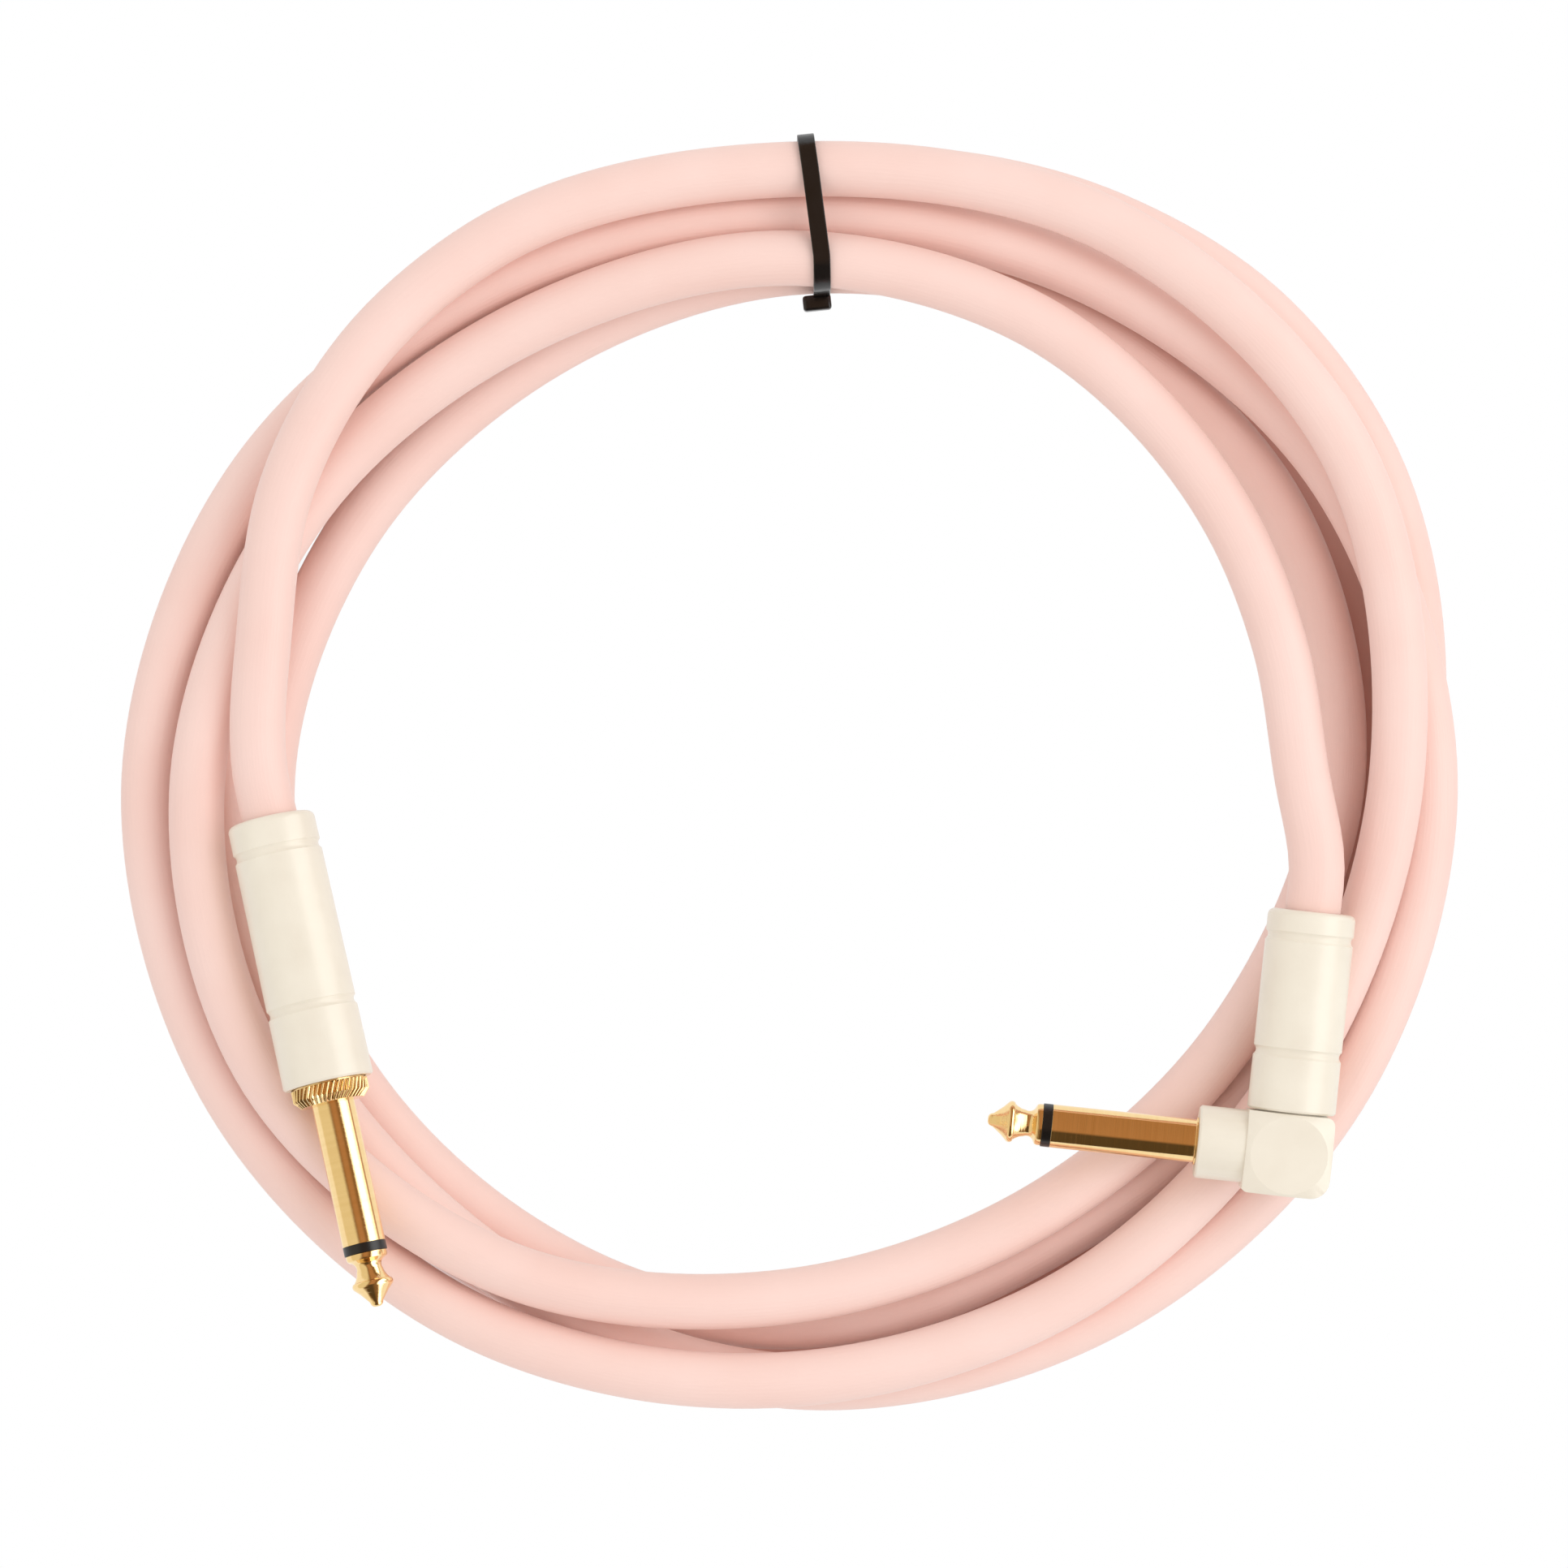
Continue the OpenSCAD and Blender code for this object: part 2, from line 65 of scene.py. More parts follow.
# %% Camera
CAMERA_AT = Vector((-0.00084, -0.00158, 1.2615))
TABLE_SEEN = 0.23447        # width of the table in the square frame
SENSOR_WIDTH = 36.0

scene = bpy.context.scene
camera_data = bpy.data.cameras.new("overhead")
camera_data.sensor_width = SENSOR_WIDTH
camera_data.lens = SENSOR_WIDTH * CAMERA_AT.z / TABLE_SEEN
camera_data.clip_start, camera_data.clip_end = 0.01, 20.0
camera = bpy.data.objects.new("overhead", camera_data)
camera.location = CAMERA_AT
scene.collection.objects.link(camera)
scene.camera = camera
scene.view_settings.view_transform = "Standard"
print("lens:", round(camera_data.lens, 1), "mm")

# %% [markdown]
# ## Where the plugs lie
#
# Each plug has a frame of its own: the middle of the barrel's rear face is its zero, and its
# axis is +X towards the tip. Every turned piece is shaped in that frame and then moved into
# place by one matrix. The right-angle plug has a second frame for its shaft, which starts at
# the shaft's shoulder. Places round the coil are written down for a cable of 7.8 mm and
# grow with the cable.

# %% Frames of the plugs
CABLE_D = 8.2 * MM
COIL_SCALE = CABLE_D / (7.8 * MM)
STRAIGHT_AT = COIL_SCALE * Vector((-0.0725, -0.0064, 0.0224))
STRAIGHT_HEADING, STRAIGHT_PITCH = -77.2, 6.0
ANGLE_AT = COIL_SCALE * Vector((0.0729, -0.0193, 0.023))
ANGLE_HEADING = -96.0
SHAFT_AXIS_AT = 35.25 * MM      # the right-angle plug's shaft leaves its barrel's axis here
ANGLE_SHOULDER = 13.65 * MM     # from the barrel's axis to the shaft's shoulder


def place(at, heading, pitch=0.0):
    turn = Matrix.Rotation(radians(heading), 4, "Z") @ Matrix.Rotation(radians(-pitch), 4, "Y")
    return Matrix.Translation(at) @ turn


straight_place = place(STRAIGHT_AT, STRAIGHT_HEADING, STRAIGHT_PITCH)
angle_place = place(ANGLE_AT, ANGLE_HEADING)
angle_shaft_place = angle_place @ place((SHAFT_AXIS_AT, -ANGLE_SHOULDER, 0), -90)
print("straight tip points to", tuple(round(x, 3) for x in straight_place.col[0][:3]))

# %% [markdown]
# ## The cable's route
#
# The route is a list of points that the middle of the cable passes through, given the way
# one would measure a coil: degrees round it from its left, distance from its middle, and
# height. A smooth curve runs through them. The solid cable is cut flat where it lies on the
# table, but a real one is round and lies on its lowest line, so the low strands are lifted
# until they just touch the table, and the ones above them a little less.

# %% Route points
COIL_MIDDLE = Vector((0.0, -0.0005, 0.0))
ON_STRAIGHT_AXIS = (0.012, 0.002, -0.007)   # the first points lie on the straight plug's axis
ON_ANGLE_AXIS = (-0.0063, 0.002, 0.0102)    # and the last ones on the right-angle plug's
LOOPS = (
    (15, .076, .0225), (30, .081, .023), (45, .0843, .022), (60, .0857, .0205),
    (90, .0851, .018), (120, .0892, .0195), (150, .0901, .0215), (180, .085, .0185),
    (210, .0822, .012), (240, .0828, .0135), (270, .0845, .017), (285, .0862, .0176),
    (300, .0883, .016), (330, .0907, .011),

    (0, .0904, .009), (30, .0863, .011), (60, .081, .0125), (90, .079, .0123),
    (120, .082, .012), (150, .0875, .012), (180, .0902, .0115), (210, .0897, .0075),
    (240, .0878, .0065), (270, .0854, .0078), (285, .0833, .0096), (300, .0807, .0104),
    (330, .0797, .0108),

    (0, .0805, .0085), (30, .081, .004), (60, .0825, .0035), (90, .085, .006),
    (120, .0912, .005), (135, .094, .004), (150, .0942, .0035), (180, .0882, .0031),
    (210, .080, .0033), (240, .0752, .0044), (255, .0762, .005), (270, .0772, .0043),
    (285, .077, .0032), (300, .076, .0031), (330, .0752, .0031),

    (0, .074, .0031), (30, .0709, .004), (60, .0694, .005), (90, .072, .006),
    (120, .076, .005), (150, .079, .0045), (180, .0776, .0057), (210, .0725, .0082),
    (240, .0704, .0123), (270, .0729, .016), (300, .0795, .0192), (330, .0845, .0182),

    (0, .083, .017), (30, .078, .0145), (60, .0732, .0165), (90, .0727, .018),
    (120, .0725, .018), (150, .0713, .0195), (165, .0709, .0215), (180, .0715, .0228),
)
FLAT = 0.84 * MM                # how far the solid's low strands are cut flat
LIFT_UP_TO = 16 * MM            # strands above this height stay where they are


def lifted(height):
    lowest = CABLE_D / 2 - FLAT
    share = (LIFT_UP_TO - height) / (LIFT_UP_TO - lowest)
    return height + FLAT * min(1.0, max(0.0, share))


def on_coil(degrees, distance, height):
    a = radians(degrees)
    point = COIL_SCALE * (COIL_MIDDLE + Vector((-distance * cos(a), distance * sin(a), height)))
    point.z = lifted(point.z)
    return point


def along(frame_matrix, x):
    return frame_matrix @ Vector((x, 0, 0))


route = [along(straight_place, x) for x in ON_STRAIGHT_AXIS]
route += [on_coil(*point) for point in LOOPS]
route += [along(angle_place, x) for x in ON_ANGLE_AXIS]
print("route points:", len(route))

# %% Smooth curve through the points
STEP = 2.5 * MM                 # distance between the rings of the tube


def heading_at(i):
    if i == 0:
        return (route[1] - route[0]).normalized()
    if i == len(route) - 1:
        return (route[i] - route[i - 1]).normalized()
    before, after = route[i] - route[i - 1], route[i + 1] - route[i]
    b, a = before.length, after.length
    return (b * after / a + a * before / b) / (b + a)


def route_point(i, t):
    start, end = route[i], route[i + 1]
    span = (end - start).length
    return ((2 * t**3 - 3 * t**2 + 1) * start + (t**3 - 2 * t**2 + t) * span * heading_at(i)
            + (3 * t**2 - 2 * t**3) * end + (t**3 - t**2) * span * heading_at(i + 1))


centres = []
for i in range(len(route) - 1):
    steps = max(2, round((route[i + 1] - route[i]).length / STEP))
    centres += [route_point(i, k / steps) for k in range(steps)]
centres.append(route[-1])
for c in centres:
    c.z = max(c.z, CABLE_D / 2)

# %% [markdown]
# ## A tube with its own coordinates
#
# A bevelled curve would be quicker, but a mesh tube can carry a UV map that runs along the
# cable, and the jacket's drawn-out marks need one. The tube starts as a circle of edges.
# Each step extrudes the circle and moves it on to the next ring's place. Distance and angle
# are kept on the vertices on the way, and become the UV map at the end.

# %% Helper: finish a mesh
def make_object(name, bm, material=None, body=LEAD, smooth=True):
    """Make an object of a bmesh, with its shading, material, slot and body."""
    for face in bm.faces:
        face.smooth = smooth
    mesh = bpy.data.meshes.new(name)
    bm.to_mesh(mesh)
    bm.free()
    made = bpy.data.objects.new(name, mesh)
    scene.collection.objects.link(made)
    if material:
        mesh.materials.append(material)
    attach(made, body)
    print(name, len(mesh.polygons), "faces")
    return made


def write_uv(bm, across, round_of):
    """UV map from two numbers of each vertex. round_of runs from 0 to 1 and then starts
    again, so a face on the join counts on past 1."""
    layer = bm.loops.layers.uv.new("UVMap")
    for face in bm.faces:
        turns = [round_of(loop.vert) for loop in face.loops]
        join = max(turns) - min(turns) > 0.5
        for loop, turn in zip(face.loops, turns):
            loop[layer].uv = (across(loop.vert), turn + 1 if join and turn < 0.5 else turn)


# %% Tube along a line of points
JACKET_SIDES = 32


def ring_frames(points):
    """A matrix for each point: X along the line, Y level, Z as near to up as it gets."""
    frames = []
    for i, point in enumerate(points):
        way = points[min(i + 1, len(points) - 1)] - points[max(i - 1, 0)]
        x = way.normalized()
        y = Vector((0, 0, 1)).cross(x).normalized()
        turn = Matrix((x, y, x.cross(y))).transposed().to_4x4()
        frames.append(Matrix.Translation(point) @ turn)
    return frames


def tube(points, radius, sides):
    bm = bmesh.new()
    distance = bm.verts.layers.float.new("distance")
    turn = bm.verts.layers.float.new("turn")
    frames = ring_frames(points)
    upright = Matrix.Rotation(pi / 2, 4, "Y")
    ring = bmesh.ops.create_circle(bm, segments=sides, radius=radius,
                                   matrix=frames[0] @ upright)["verts"]
    for vert in ring:
        local = frames[0].inverted() @ vert.co
        vert[turn] = (atan2(-local.y, -local.z) / tau) % 1.0
    edges = list(bm.edges)
    gone = 0.0
    for i in range(1, len(points)):
        gone += (points[i] - points[i - 1]).length
        made = bmesh.ops.extrude_edge_only(bm, edges=edges)["geom"]
        ring = [g for g in made if isinstance(g, bmesh.types.BMVert)]
        edges = [g for g in made if isinstance(g, bmesh.types.BMEdge)]
        bmesh.ops.transform(bm, verts=ring, matrix=frames[i] @ frames[i - 1].inverted())
        for vert in ring:
            vert[distance] = gone
    girth = tau * radius
    write_uv(bm, lambda v: v[distance] / girth, lambda v: v[turn])
    bmesh.ops.holes_fill(bm, edges=bm.edges[:], sides=0)
    bmesh.ops.recalc_face_normals(bm, faces=bm.faces[:])
    return bm


# %% [markdown]
# ## Finishes: the shared groups
#
# Two effects are built once as node groups, and a finish then uses them with its own values.
# The first, a surface grain, comes back in nearly every finish: slow changes of tone and a
# fine unevenness. The second gives turning marks, the faint rings that a lathe tool leaves
# round a plug, from the UV map that runs along the plug's axis. Groups only hand out masks
# and heights. The shader, and every value that is the same all over, stays in the material.

# %% Shader groups
def add_node(tree, kind, **values):
    node = tree.nodes.new(kind)
    for key, value in values.items():
        setattr(node, key, value)
    return node


def start_group(name, inputs, outputs):
    tree = bpy.data.node_groups.new(name, "ShaderNodeTree")
    for label, kind in inputs:
        tree.interface.new_socket(label, in_out="INPUT", socket_type=kind)
    for label in outputs:
        tree.interface.new_socket(label, in_out="OUTPUT", socket_type="NodeSocketFloat")
    return tree, tree.nodes.new("NodeGroupInput"), tree.nodes.new("NodeGroupOutput")


def noise(tree, vector, scale, detail=2.0, roughness=0.5):
    node = add_node(tree, "ShaderNodeTexNoise")
    tree.links.new(vector, node.inputs["Vector"])
    if isinstance(scale, (int, float)):
        node.inputs["Scale"].default_value = scale
    else:
        tree.links.new(scale, node.inputs["Scale"])
    node.inputs["Detail"].default_value = detail
    node.inputs["Roughness"].default_value = roughness
    return node.outputs["Fac"]


def make_grain():
    tree, source, result = start_group(
        "surface_grain",
        [("Vector", "NodeSocketVector"), ("Patch Scale", "NodeSocketFloat"),
         ("Grain Scale", "NodeSocketFloat")],
        ["Tone", "Height"])
    patches = noise(tree, source.outputs["Vector"], source.outputs["Patch Scale"], 3.0)
    grain = noise(tree, source.outputs["Vector"], source.outputs["Grain Scale"], 4.0, 0.6)
    tree.links.new(patches, result.inputs["Tone"])
    tree.links.new(grain, result.inputs["Height"])
    return tree


def make_turning():
    tree, source, result = start_group(
        "turning_marks",
        [("Vector", "NodeSocketVector"), ("Marks", "NodeSocketFloat")],
        ["Height", "Worn"])
    stretch = add_node(tree, "ShaderNodeVectorMath", operation="MULTIPLY")
    stretch.inputs[1].default_value = (1.0, 0.04, 1.0)
    tree.links.new(source.outputs["Vector"], stretch.inputs[0])
    rings = noise(tree, stretch.outputs[0], source.outputs["Marks"], 3.0, 0.7)
    handled = noise(tree, source.outputs["Vector"], 1.3, 3.0)
    tree.links.new(rings, result.inputs["Height"])
    tree.links.new(handled, result.inputs["Worn"])
    return tree


grain_group, turning_group = make_grain(), make_turning()
print("groups:", grain_group.name, turning_group.name)

# %% Helpers for materials
def start_material(name, **sockets):
    material = bpy.data.materials.new(name)
    material.use_nodes = True
    shader = material.node_tree.nodes["Principled BSDF"]
    for label, value in sockets.items():
        shader.inputs[label.replace("_", " ")].default_value = value
    return material, material.node_tree, shader


def use_group(tree, group, vector, **values):
    node = add_node(tree, "ShaderNodeGroup", node_tree=group)
    tree.links.new(vector, node.inputs["Vector"])
    for label, value in values.items():
        node.inputs[label.replace("_", " ")].default_value = value
    return node


def blend_colours(tree, mask, low, high):
    mix = add_node(tree, "ShaderNodeMix", data_type="RGBA")
    for socket, colour in ((mix.inputs[6], low), (mix.inputs[7], high)):
        socket.default_value = (*colour, 1.0)
    tree.links.new(mask, mix.inputs[0])
    return mix.outputs[2]


def spread(tree, value, low, high):
    """Stretch a noise, which mostly stays between 0.3 and 0.7, over low to high."""
    node = add_node(tree, "ShaderNodeMapRange")
    node.inputs["From Min"].default_value = 0.3
    node.inputs["From Max"].default_value = 0.7
    node.inputs["To Min"].default_value = low
    node.inputs["To Max"].default_value = high
    tree.links.new(value, node.inputs["Value"])
    return node.outputs["Result"]


def bump(tree, height, depth, strength=1.0, under=None):
    node = add_node(tree, "ShaderNodeBump")
    node.inputs["Strength"].default_value = strength
    node.inputs["Distance"].default_value = depth
    tree.links.new(height, node.inputs["Height"])
    if under:
        tree.links.new(under, node.inputs["Normal"])
    return node.outputs["Normal"]


def coordinates(tree, kind="Object", scale=(1, 1, 1)):
    source = add_node(tree, "ShaderNodeTexCoord").outputs[kind]
    mapping = add_node(tree, "ShaderNodeMapping")
    mapping.inputs["Scale"].default_value = scale
    tree.links.new(source, mapping.inputs["Vector"])
    return mapping.outputs["Vector"]


# %% [markdown]
# ## Finishes: the cable's jacket
#
# The jacket is soft extruded vinyl. It is dull rather than glossy, with a faint sheen, and
# the die that it was drawn through leaves very faint lines along it. The tone drifts slowly
# from place to place.

# %% Jacket
PINK_LOW, PINK_HIGH = (0.945, 0.665, 0.595), (0.965, 0.71, 0.645)


def make_jacket():
    material, tree, shader = start_material("pink_jacket", Roughness=0.5, IOR=1.45)
    shader.inputs["Sheen Weight"].default_value = 0.15
    shader.inputs["Sheen Roughness"].default_value = 0.4
    surface = coordinates(tree)
    length = coordinates(tree, "UV", (0.35, 9.0, 1.0))
    grain = use_group(tree, grain_group, surface, Patch_Scale=45.0, Grain_Scale=2600.0)
    lines = noise(tree, length, 6.0, 3.0, 0.65)
    colour = blend_colours(tree, spread(tree, grain.outputs["Tone"], 0, 1), PINK_LOW, PINK_HIGH)
    tree.links.new(colour, shader.inputs["Base Color"])
    tree.links.new(spread(tree, grain.outputs["Tone"], 0.46, 0.54), shader.inputs["Roughness"])
    drawn = bump(tree, lines, 0.05 * MM)
    tree.links.new(bump(tree, grain.outputs["Height"], 0.02 * MM, 0.6, drawn),
                   shader.inputs["Normal"])
    return material


jacket_finish = make_jacket()
print("jacket:", jacket_finish.name)

# %% Lay the cable
cable = make_object("cable_jacket", tube(centres, CABLE_D / 2, JACKET_SIDES), jacket_finish)
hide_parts("cable")

# %% [markdown]
# ## Finishes: the plugs
#
# The contacts are gold plated and polished after turning, so they are a metal with a low
# roughness and a very shallow ring pattern. The barrels are painted ivory: a smooth paint
# with the faint unevenness of a sprayed coat. The black parts are moulded plastic. The
# hidden parts get plainer finishes of the same kind.

# %% Gold, ivory and black
GOLD_LOW, GOLD_HIGH = (0.93, 0.67, 0.32), (0.97, 0.72, 0.37)
IVORY_LOW, IVORY_HIGH = (0.86, 0.79, 0.665), (0.90, 0.835, 0.71)


def make_gold():
    material, tree, shader = start_material("gold_plate", Metallic=1.0)
    marks = use_group(tree, turning_group, coordinates(tree, "UV"), Marks=6.0)
    worn = marks.outputs["Worn"]
    tree.links.new(blend_colours(tree, spread(tree, worn, 0, 1), GOLD_LOW, GOLD_HIGH),
                   shader.inputs["Base Color"])
    tree.links.new(spread(tree, worn, 0.04, 0.09), shader.inputs["Roughness"])
    tree.links.new(bump(tree, marks.outputs["Height"], 0.02 * MM), shader.inputs["Normal"])
    return material


def make_moulded(name, low, high, rough, depth, grain=1500.0, **sockets):
    """A painted or moulded surface: its tone, its gloss and its fine unevenness vary."""
    material, tree, shader = start_material(name, **sockets)
    group = use_group(tree, grain_group, coordinates(tree), Patch_Scale=160.0,
                      Grain_Scale=grain)
    tone = group.outputs["Tone"]
    tree.links.new(blend_colours(tree, spread(tree, tone, 0, 1), low, high),
                   shader.inputs["Base Color"])
    tree.links.new(spread(tree, tone, *rough), shader.inputs["Roughness"])
    tree.links.new(bump(tree, group.outputs["Height"], depth), shader.inputs["Normal"])
    return material


gold_finish = make_gold()
ivory_finish = make_moulded("ivory_finish", IVORY_LOW, IVORY_HIGH, (0.30, 0.40), 0.012 * MM,
                            Coat_Weight=0.2, Coat_Roughness=0.2)
nylon_finish = make_moulded("black_nylon", (0.005, 0.004, 0.004), (0.010, 0.008, 0.008),
                            (0.18, 0.30), 0.03 * MM)
insulator_finish = make_moulded("black_insulator", (0.005, 0.004, 0.004),
                                (0.011, 0.009, 0.009), (0.3, 0.42), 0.01 * MM)
white_finish = make_moulded("white_plastic", (0.76, 0.76, 0.73), (0.83, 0.83, 0.81),
                            (0.42, 0.52), 0.01 * MM)
clear_finish = make_moulded("clear_plastic", (0.74, 0.76, 0.74), (0.82, 0.84, 0.82),
                            (0.16, 0.24), 0.005 * MM)
copper_finish = make_moulded("copper", (0.62, 0.25, 0.14), (0.80, 0.38, 0.24),
                             (0.25, 0.4), 0.05 * MM, grain=4000.0, Metallic=1.0)
FINISHES = {"gold_plate": gold_finish, "ivory_finish": ivory_finish,
            "black_nylon": nylon_finish, "black_insulator": insulator_finish,
            "white_plastic": white_finish, "clear_plastic": clear_finish,
            "copper": copper_finish}
print("finishes:", ", ".join(FINISHES))

# %% Dress the solids
for part in frame["record"]["subparts"]:
    if part["material_slot"] in FINISHES:
        solid = frame["nodes"][part["node"]]
        solid.data.materials.clear()
        solid.data.materials.append(FINISHES[part["material_slot"]])
        print(part["node"], "in", part["material_slot"])

# %% [markdown]
# ## The lathe
#
# Barrels, shafts, tips and rings are all turned, so one helper makes them: it draws half of
# the section as a line of points (distance along the axis, distance from it), spins that
# line once round, and moves the result into place. Sharp corners get a Bevel modifier, which
# is what catches the light on a real edge. A boolean or a primitive cylinder could do it as
# well, but the half section reads like the drawing a turner works from.

# %% Helper: turned pieces
TURN_STEPS = 96
ON_AXIS = 1e-9                  # a radius below this counts as none
WELD = 0.0005 * MM              # points of a spin that lie closer than this become one
BEVEL_FROM = radians(26)        # corners sharper than this are rounded


def mm(*points):
    return [(x * MM, r * MM) for x, r in points]


def arc(x, r, radius, start, end, steps=8):
    """Points of an arc in a half section: 0 degrees points along the axis, 90 outwards."""
    angles = [radians(start + (end - start) * k / steps) for k in range(steps + 1)]
    return [(x + radius * cos(a), r + radius * sin(a)) for a in angles]


def spin_section(section, steps=TURN_STEPS):
    bm = bmesh.new()
    verts = [bm.verts.new((x, 0, -r)) for x, r in section]
    joins = list(zip(verts, verts[1:] + verts[:1]))
    if section[0][1] < ON_AXIS and section[-1][1] < ON_AXIS:
        joins.pop()             # a solid piece: its section ends on the axis
    edges = [bm.edges.new(pair) for pair in joins]
    bmesh.ops.spin(bm, geom=verts + edges, cent=(0, 0, 0), axis=(1, 0, 0), dvec=(0, 0, 0),
                   angle=tau, steps=steps, use_merge=True)
    bmesh.ops.remove_doubles(bm, verts=bm.verts[:], dist=WELD)
    bmesh.ops.recalc_face_normals(bm, faces=bm.faces[:])
    return bm


def plug_uv(bm):
    """U counts millimetres along the axis and V turns round it, with the join underneath."""
    write_uv(bm, lambda v: v.co.x / MM, lambda v: (atan2(v.co.y, -v.co.z) / tau) % 1.0)


def soften(piece, width, segments=2):
    bevel = piece.modifiers.new("soft_edges", "BEVEL")
    bevel.width, bevel.segments = width, segments
    bevel.limit_method, bevel.angle_limit = "ANGLE", BEVEL_FROM
    bevel.harden_normals = True
    return piece


def turned(name, section, frame_matrix, slot, body=LEAD, edge=0.06 * MM):
    bm = spin_section(section)
    plug_uv(bm)
    bmesh.ops.transform(bm, verts=bm.verts[:], matrix=frame_matrix)
    return soften(make_object(name, bm, FINISHES[slot], body), edge)


# %% [markdown]
# ## The barrels
#
# Each barrel is a thin painted shell with a rounded rear edge, a hole for the cable, and two
# shallow grooves that are all the decoration it has. Its front end is bored a little
# narrower, because it screws over a threaded spigot.

# %% Barrels
REAR_R = 6.45 * MM
REAR_EDGE = 1 * MM
REAR_WALL = 1.6 * MM
REAR_HOLE_R = 4.5 * MM
BORE_R, THREAD_R = 5.8 * MM, 5.6 * MM
SPIGOT_LENGTH = 8 * MM
GROOVE_HALF, GROOVE_DEPTH = 0.7 * MM, 0.35 * MM
FRONT_EDGE = 0.3 * MM


def barrel_section(length, front_r, grooves):
    tool_r = (GROOVE_HALF**2 + GROOVE_DEPTH**2) / (2 * GROOVE_DEPTH)
    reach = tool_r - GROOVE_DEPTH
    half_angle = 90 - atan2(reach, GROOVE_HALF) * 180 / pi
    section = [(0, REAR_HOLE_R)] + arc(REAR_EDGE, REAR_R - REAR_EDGE, REAR_EDGE, 180, 90)
    for at in grooves:
        surface = REAR_R + (front_r - REAR_R) * at / length
        section += arc(at, surface + reach, tool_r, 270 - half_angle, 270 + half_angle, 10)
    return section + [
        (length - FRONT_EDGE, front_r), (length, front_r - FRONT_EDGE),
        (length, THREAD_R), (length - SPIGOT_LENGTH, THREAD_R),
        (length - SPIGOT_LENGTH, BORE_R), (REAR_WALL, BORE_R), (REAR_WALL, REAR_HOLE_R)]


STRAIGHT_BARREL, STRAIGHT_FRONT_R = 39.8 * MM, 6.7 * MM
STRAIGHT_GROOVES = (5 * MM, STRAIGHT_BARREL - 11.3 * MM)
ANGLE_BARREL, ANGLE_FRONT_R = 29.5 * MM, 6.5 * MM
ANGLE_GROOVES = (3.9 * MM, ANGLE_BARREL - 8.6 * MM)

straight_barrel = turned(
    "straight_barrel_turned",
    barrel_section(STRAIGHT_BARREL, STRAIGHT_FRONT_R, STRAIGHT_GROOVES),
    straight_place, "ivory_finish", "straight_barrel")
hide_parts("straight_barrel_shell")
angle_barrel = turned(
    "angle_barrel_turned", barrel_section(ANGLE_BARREL, ANGLE_FRONT_R, ANGLE_GROOVES),
    angle_place, "ivory_finish", "angle_barrel")
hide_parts("angle_barrel_shell")

# %% [markdown]
# ## Shafts, rings and tips
#
# The shaft is the sleeve contact, a tube. The black ring behind the tip is flush with it.
# The tip has the flange, waist, bulge and cone that a jack's spring clicks behind.

# %% Shafts, rings and tips
SHAFT_R, SHAFT_BORE_R = 3.175 * MM, 2.2 * MM
ROD_R, TUBE_R = 1.25 * MM, 2.15 * MM
RING_FROM, TIP_FROM = 21.15 * MM, 22.5 * MM
STRAIGHT_COLLAR_AT, STRAIGHT_SHOULDER = 40.05 * MM, 42.75 * MM
SPIGOT_FROM, SPIGOT_FLOOR, SPIGOT_R = 32.05 * MM, 37.05 * MM, 5.3 * MM
FIT = 0.05 * MM
straight_shaft_place = straight_place @ Matrix.Translation((STRAIGHT_SHOULDER, 0, 0))


def tip_section(rod_from):
    shape = mm((0, 0), (0, 2.98), (0.06, 3.04), (0.6, 3.04), (0.9, 2.92))
    shape += arc(2.1 * MM, 2.9 * MM, 1.05 * MM, 195, 298, 10)
    shape += mm((3.2, 2.1), (3.8, 2.42), (4.15, 2.7))
    shape += arc(4.65 * MM, 2.4 * MM, 0.65 * MM, 135, 48, 8)
    shape += mm((5.8, 2.15), (6.6, 1.5), (7.2, 1.02))
    shape += arc(7.3 * MM, 0.25 * MM, 0.7 * MM, 80, 0, 6)
    shape += mm((8, 0))
    placed = [(x + TIP_FROM, r) for x, r in shape]
    return [(rod_from, 0), (rod_from, ROD_R), (TIP_FROM, ROD_R)] + placed[1:]


def ring_section(tube_from):
    inner = ROD_R + FIT
    return [(tube_from, inner), (tube_from, TUBE_R), (RING_FROM, TUBE_R), (RING_FROM, SHAFT_R),
            (TIP_FROM, SHAFT_R), (TIP_FROM, inner)]


plugs = {"straight": straight_shaft_place, "angle": angle_shaft_place}
ROD_STARTS = {"straight": -9.3 * MM, "angle": -11.15 * MM}
TUBE_STARTS = {"straight": -5.7 * MM, "angle": -7.3 * MM}
plug_pieces = {}
for which, shaft_place in plugs.items():
    tip = turned(which + "_tip_turned", tip_section(ROD_STARTS[which]), shaft_place,
                 "gold_plate", edge=0.04 * MM)
    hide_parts(which + "_tip")
    ring = turned(which + "_ring_turned", ring_section(TUBE_STARTS[which]), shaft_place,
                  "black_insulator", edge=0.05 * MM)
    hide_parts(which + "_tip_insulator")
    plug_pieces[which] = [tip, ring]

# %% Sleeves
SPIGOT_BORE_R = 3.6 * MM
STEM_R = 3.35 * MM              # the right-angle shaft inside the head's neck
RIM_R, RIM_LENGTH = 3.5 * MM, 0.3 * MM      # its gold rim at the neck's mouth

